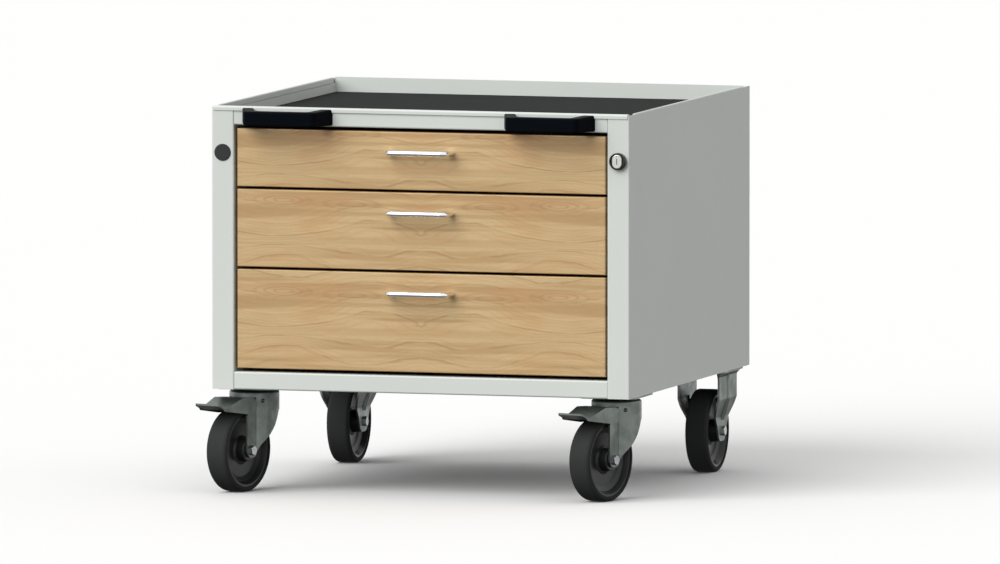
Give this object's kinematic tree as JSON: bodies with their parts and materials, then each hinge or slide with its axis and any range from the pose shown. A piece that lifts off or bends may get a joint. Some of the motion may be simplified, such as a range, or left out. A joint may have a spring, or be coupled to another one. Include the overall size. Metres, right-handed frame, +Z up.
{
  "type": "mobile drawer cabinet",
  "caption": "Mobile workbench cabinet: sheet-steel casing with matted tray top, drawers on full-extension slides, central lock, push handles and braked swivel casters.",
  "frame": {"origin": "on the floor under the middle of the whole object's box, push handles and brake pedals included; the casing's own middle is 7.3 mm to the right and 24.9 mm behind it", "axes": "+X to the object's right as seen from the drawers, +Y from the drawers to the back, +Z up"},
  "size_m": [0.6646, 0.6898, 0.58],
  "materials": {
    "grey_paint": "light grey powder coat, fine texture, satin",
    "drawer_paint": "light grey powder coat, satin",
    "mat_rubber": "fine-grained matt rubber",
    "slide_zinc": "bright zinc plate",
    "fastener_zinc": "zinc plate",
    "caster_zinc": "grey-green zinc plate, satin",
    "handle_plastic": "moulded black plastic, satin",
    "plug_plastic": "moulded dark grey plastic",
    "lock_black": "black, semi-gloss",
    "lock_nickel": "brushed nickel",
    "beech": "beech pattern, satin lacquer",
    "chrome": "polished chrome",
    "wheel_nylon": "moulded anthracite plastic",
    "tyre_rubber": "solid black rubber"
  },
  "bodies": {
    "cabinet": {"side_panel_right": "grey_paint", "side_panel_left": "grey_paint", "back_panel": "grey_paint", "base_panel": "grey_paint", "base_front_rail": "grey_paint", "top_front_rail": "grey_paint", "top_tray": "grey_paint", "rubber_mat": "mat_rubber", "slide_posts": "grey_paint", "cabinet_rails": "slide_zinc", "push_handle_left": "handle_plastic", "push_handle_right": "handle_plastic", "push_handle_screws": "fastener_zinc", "blind_plug": "plug_plastic", "lock_housing": "lock_black", "lock_nut": "fastener_zinc", "locking_bar_guides": "plug_plastic", "rear_axle_bolts": "fastener_zinc", "caster_screws": "fastener_zinc", "caster_nuts": "fastener_zinc", "caster_plate_front_left": "caster_zinc", "rear_bracket_left": "caster_zinc", "caster_plate_front_right": "caster_zinc", "rear_bracket_right": "caster_zinc"},
    "lock": {"lock_core": "lock_nickel", "lock_cam": "fastener_zinc"},
    "locking_bar": {"locking_bar": "slide_zinc"},
    "drawer_1": {"drawer_1_box": "drawer_paint", "drawer_1_front": "beech", "drawer_1_handle": "chrome", "drawer_1_screws": "fastener_zinc", "drawer_1_rails": "slide_zinc"},
    "middle_rails_1": {"middle_rails_1": "slide_zinc"},
    "drawer_2": {"drawer_2_box": "drawer_paint", "drawer_2_front": "beech", "drawer_2_handle": "chrome", "drawer_2_screws": "fastener_zinc", "drawer_2_rails": "slide_zinc"},
    "middle_rails_2": {"middle_rails_2": "slide_zinc"},
    "drawer_3": {"drawer_3_box": "drawer_paint", "drawer_3_front": "beech", "drawer_3_handle": "chrome", "drawer_3_screws": "fastener_zinc", "drawer_3_rails": "slide_zinc"},
    "middle_rails_3": {"middle_rails_3": "slide_zinc"},
    "fork_left": {"caster_fork_left": "caster_zinc", "fork_bolts_left": "fastener_zinc"},
    "brake_pedal_left": {"brake_pedal_left": "caster_zinc"},
    "wheel_front_left": {"wheel_core_front_left": "wheel_nylon", "tyre_front_left": "tyre_rubber"},
    "wheel_rear_left": {"wheel_core_rear_left": "wheel_nylon", "tyre_rear_left": "tyre_rubber"},
    "fork_right": {"caster_fork_right": "caster_zinc", "fork_bolts_right": "fastener_zinc"},
    "brake_pedal_right": {"brake_pedal_right": "caster_zinc"},
    "wheel_front_right": {"wheel_core_front_right": "wheel_nylon", "tyre_front_right": "tyre_rubber"},
    "wheel_rear_right": {"wheel_core_rear_right": "wheel_nylon", "tyre_rear_right": "tyre_rubber"}
  },
  "joints": [
    {"name": "drawer_1_slide", "type": "slide", "parent": "cabinet", "child": "drawer_1", "axis": [0, -1, 0], "range_m": [0, 0.52]},
    {"name": "middle_rails_1_slide", "type": "slide", "parent": "cabinet", "child": "middle_rails_1", "axis": [0, -1, 0], "range_m": [0, 0.26]},
    {"name": "drawer_2_slide", "type": "slide", "parent": "cabinet", "child": "drawer_2", "axis": [0, -1, 0], "range_m": [0, 0.52]},
    {"name": "middle_rails_2_slide", "type": "slide", "parent": "cabinet", "child": "middle_rails_2", "axis": [0, -1, 0], "range_m": [0, 0.26]},
    {"name": "drawer_3_slide", "type": "slide", "parent": "cabinet", "child": "drawer_3", "axis": [0, -1, 0], "range_m": [0, 0.52]},
    {"name": "middle_rails_3_slide", "type": "slide", "parent": "cabinet", "child": "middle_rails_3", "axis": [0, -1, 0], "range_m": [0, 0.26]},
    {"name": "lock_turn", "type": "hinge", "parent": "cabinet", "child": "lock", "pos_m": [0.3153, -0.2951, 0.5105], "axis": [0, 1, 0], "range_deg": [0, 90]},
    {"name": "locking_bar_lift", "type": "slide", "parent": "cabinet", "child": "locking_bar", "axis": [0, 0, 1], "range_m": [0, 0.01131]},
    {"name": "caster_left_swivel", "type": "hinge", "parent": "cabinet", "child": "fork_left", "pos_m": [-0.2752, -0.2191, 0.1495], "axis": [0, 0, 1], "continuous": true},
    {"name": "wheel_front_left_spin", "type": "hinge", "parent": "fork_left", "child": "wheel_front_left", "pos_m": [-0.28748, -0.25927, 0.0625], "axis": [0.9563, -0.2924, 0], "continuous": true},
    {"name": "brake_pedal_left_press", "type": "hinge", "parent": "fork_left", "child": "brake_pedal_left", "pos_m": [-0.28163, -0.24014, 0.136], "axis": [0.9563, -0.2924, 0], "range_deg": [0, 9]},
    {"name": "wheel_rear_left_spin", "type": "hinge", "parent": "cabinet", "child": "wheel_rear_left", "pos_m": [-0.2752, 0.2609, 0.0625], "axis": [1, 0, 0], "continuous": true},
    {"name": "caster_right_swivel", "type": "hinge", "parent": "cabinet", "child": "fork_right", "pos_m": [0.2898, -0.2191, 0.1495], "axis": [0, 0, 1], "continuous": true},
    {"name": "wheel_front_right_spin", "type": "hinge", "parent": "fork_right", "child": "wheel_front_right", "pos_m": [0.27752, -0.25927, 0.0625], "axis": [0.9563, -0.2924, 0], "continuous": true},
    {"name": "brake_pedal_right_press", "type": "hinge", "parent": "fork_right", "child": "brake_pedal_right", "pos_m": [0.28337, -0.24014, 0.136], "axis": [0.9563, -0.2924, 0], "range_deg": [0, 9]},
    {"name": "wheel_rear_right_spin", "type": "hinge", "parent": "cabinet", "child": "wheel_rear_right", "pos_m": [0.2898, 0.2609, 0.0625], "axis": [1, 0, 0], "continuous": true}
  ],
  "couplings": [
    {"joint": "middle_rails_1_slide", "follows": "drawer_1_slide", "ratio": 0.5},
    {"joint": "middle_rails_2_slide", "follows": "drawer_2_slide", "ratio": 0.5},
    {"joint": "middle_rails_3_slide", "follows": "drawer_3_slide", "ratio": 0.5},
    {"joint": "lock_turn", "follows": "locking_bar_lift", "rad_per_m": 138.84}
  ]
}
